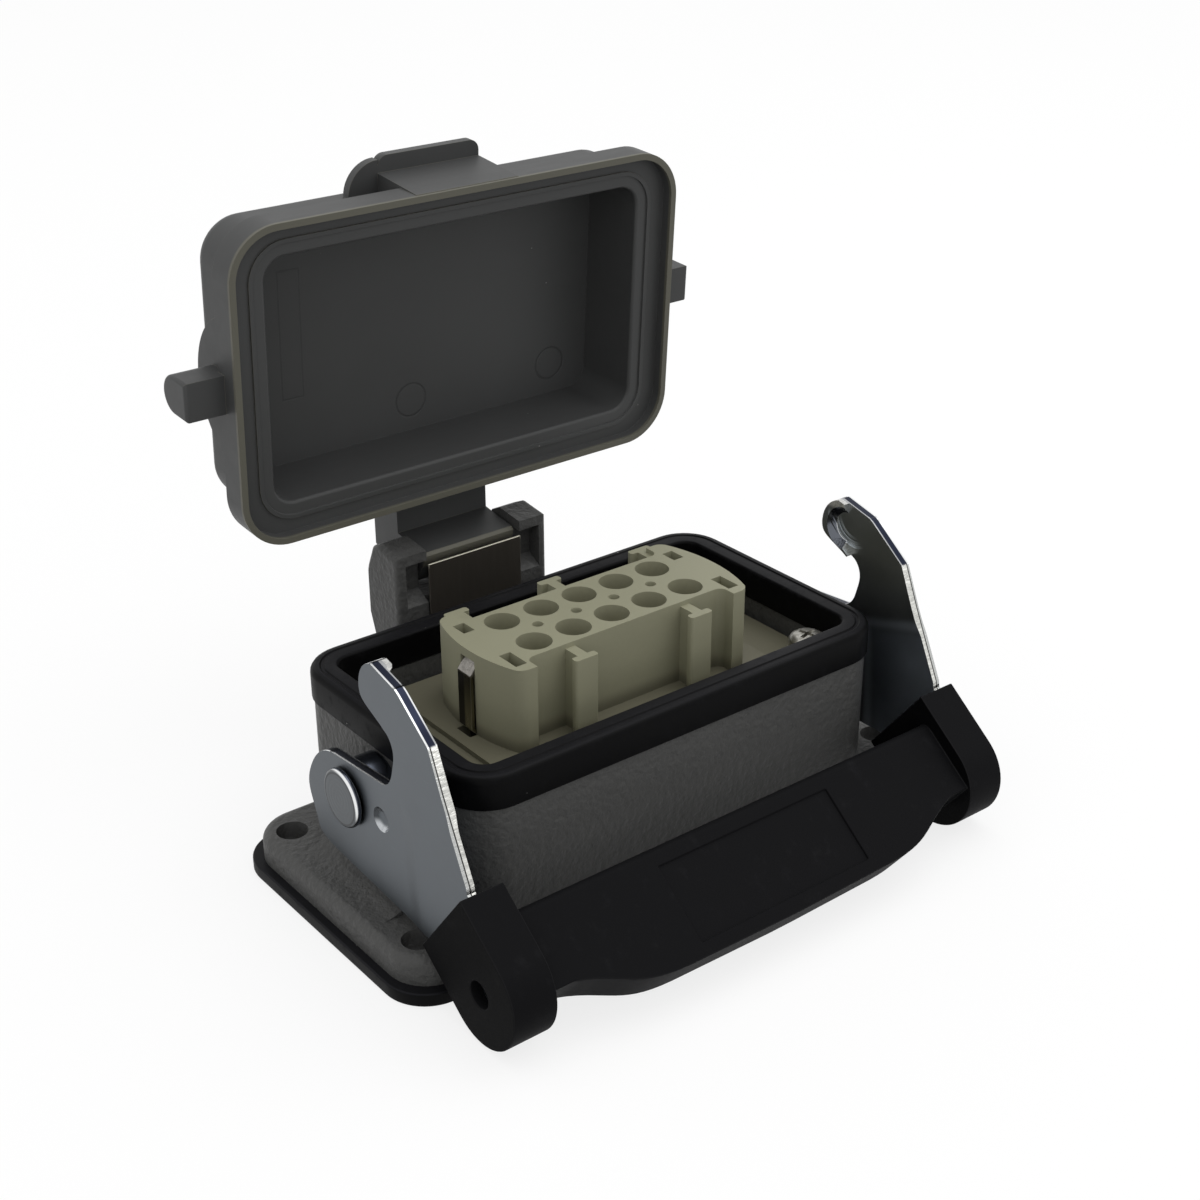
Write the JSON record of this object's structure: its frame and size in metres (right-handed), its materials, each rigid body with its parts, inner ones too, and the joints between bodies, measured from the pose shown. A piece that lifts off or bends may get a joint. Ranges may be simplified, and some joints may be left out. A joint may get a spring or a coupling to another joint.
{
  "type": "heavy duty rectangular connector",
  "caption": "Bulkhead housing of a rectangular power connector, with a socket insert, a locking lever on end pins and a hinged cover that swings over the sealed rim.",
  "frame": {"origin": "centre of the four flange holes on the mounting face, the underside of the flange gasket", "axes": "+X along the long side, +Y from the lever handle towards the cover hinge, +Z away from the panel"},
  "size_m": [0.094, 0.0872, 0.0917],
  "materials": {
    "housing_paint": "fine grained grey powder coat on die cast metal",
    "black_rubber": "smooth black rubber",
    "zinc_steel": "zinc plated stamped steel",
    "spring_steel": "polished spring sheet",
    "insert_plastic": "matt beige glass filled plastic",
    "contact_metal": "silver plated copper alloy",
    "screw_steel": "zinc plated screw steel",
    "handle_plastic": "fine grained black plastic",
    "cover_plastic": "satin dark grey thermoplastic"
  },
  "bodies": {
    "housing": {"housing": "housing_paint", "flange_gasket": "black_rubber", "rim_seal": "black_rubber", "pivot_pin_right": "zinc_steel", "pivot_pin_left": "zinc_steel", "hinge_spring": "spring_steel", "insert_body": "insert_plastic", "insert_base": "insert_plastic", "terminal_screws": "screw_steel", "insert_screws": "screw_steel", "earth_spring_right": "spring_steel", "earth_spring_left": "spring_steel", "earth_terminal_right": "zinc_steel", "earth_terminal_left": "zinc_steel", "earth_screws": "screw_steel", "socket_contact_01": "contact_metal", "socket_contact_02": "contact_metal", "socket_contact_03": "contact_metal", "socket_contact_04": "contact_metal", "socket_contact_05": "contact_metal", "socket_contact_06": "contact_metal", "socket_contact_07": "contact_metal", "socket_contact_08": "contact_metal", "socket_contact_09": "contact_metal", "socket_contact_10": "contact_metal"},
    "lever": {"lever_plate_right": "zinc_steel", "lever_plate_left": "zinc_steel", "lever_handle": "handle_plastic"},
    "cover": {"cover": "cover_plastic"}
  },
  "joints": [
    {"name": "lever_swing", "type": "hinge", "parent": "housing", "child": "lever", "pos_m": [0, 0, 0.0196], "axis": [-1, 0, 0], "range_deg": [0, 34]},
    {"name": "cover_swing", "type": "hinge", "parent": "housing", "child": "cover", "pos_m": [0, 0.03428, 0.03095], "axis": [1, 0, 0], "range_deg": [0, 86.5]}
  ]
}
